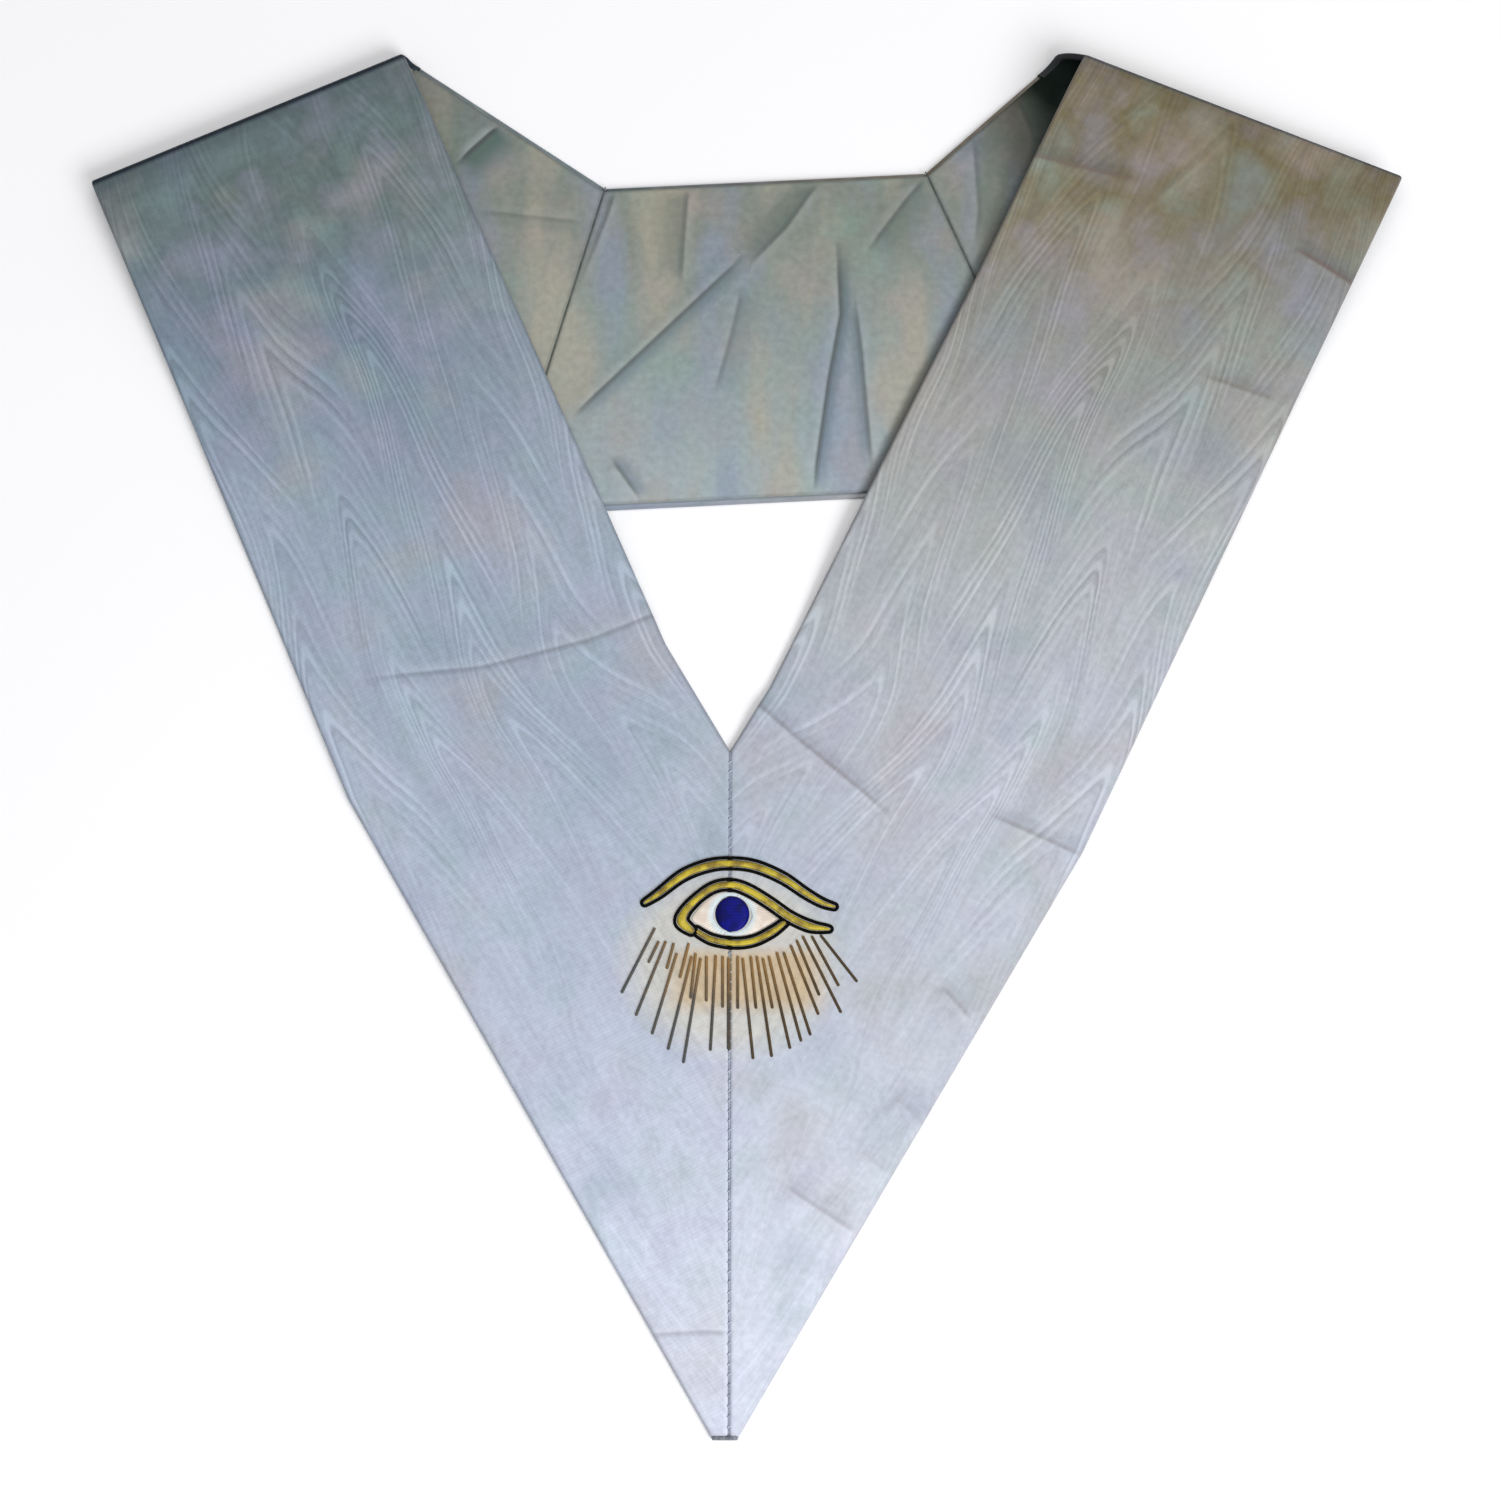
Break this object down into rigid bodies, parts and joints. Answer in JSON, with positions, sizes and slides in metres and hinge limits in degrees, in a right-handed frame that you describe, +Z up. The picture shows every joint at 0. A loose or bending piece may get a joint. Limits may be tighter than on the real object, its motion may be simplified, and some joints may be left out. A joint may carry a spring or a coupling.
{
  "type": "masonic collar",
  "caption": "V-shaped collar of wide watered-silk ribbon with a mitred point, turned over at both shoulders and lined at the neck, with an embroidered all-seeing eye and rays.",
  "frame": {"origin": "middle of the collar's bounding box, on the surface that it lies on", "axes": "+Z up from the surface, +Y from the mitred point towards the back of the neck, +X to the right seen from above"},
  "size_m": [0.4268, 0.4432, 0.015],
  "materials": {
    "moire_ribbon": "watered silk ribbon, soft sheen",
    "lining_satin": "grey-green satin lining, creased",
    "gold_thread": "gold satin stitch",
    "black_thread": "black rope stitch",
    "white_thread": "white satin stitch",
    "blue_thread": "navy satin stitch",
    "ray_thread": "brown couched thread"
  },
  "bodies": {
    "root": {"left_front_ribbon": "moire_ribbon", "right_front_ribbon": "moire_ribbon", "left_shoulder_ribbon": "moire_ribbon", "right_shoulder_ribbon": "moire_ribbon", "back_ribbon": "moire_ribbon", "left_shoulder_lining": "lining_satin", "right_shoulder_lining": "lining_satin", "back_lining": "lining_satin", "brow_outline": "black_thread", "lid_outline": "black_thread", "brow_fill": "gold_thread", "upper_lid_fill": "gold_thread", "lower_lid_fill": "gold_thread", "eye_white": "white_thread", "iris": "blue_thread", "ray_01": "ray_thread", "ray_02": "ray_thread", "ray_03": "ray_thread", "ray_04": "ray_thread", "ray_05": "ray_thread", "ray_06": "ray_thread", "ray_07": "ray_thread", "ray_08": "ray_thread", "ray_09": "ray_thread", "ray_10": "ray_thread", "ray_11": "ray_thread", "ray_12": "ray_thread", "ray_13": "ray_thread", "ray_14": "ray_thread", "ray_15": "ray_thread", "ray_16": "ray_thread", "ray_17": "ray_thread", "ray_18": "ray_thread", "ray_19": "ray_thread", "ray_20": "ray_thread", "ray_21": "ray_thread", "ray_22": "ray_thread", "ray_23": "ray_thread", "ray_24": "ray_thread", "ray_25": "ray_thread", "ray_26": "ray_thread"}
  },
  "joints": []
}
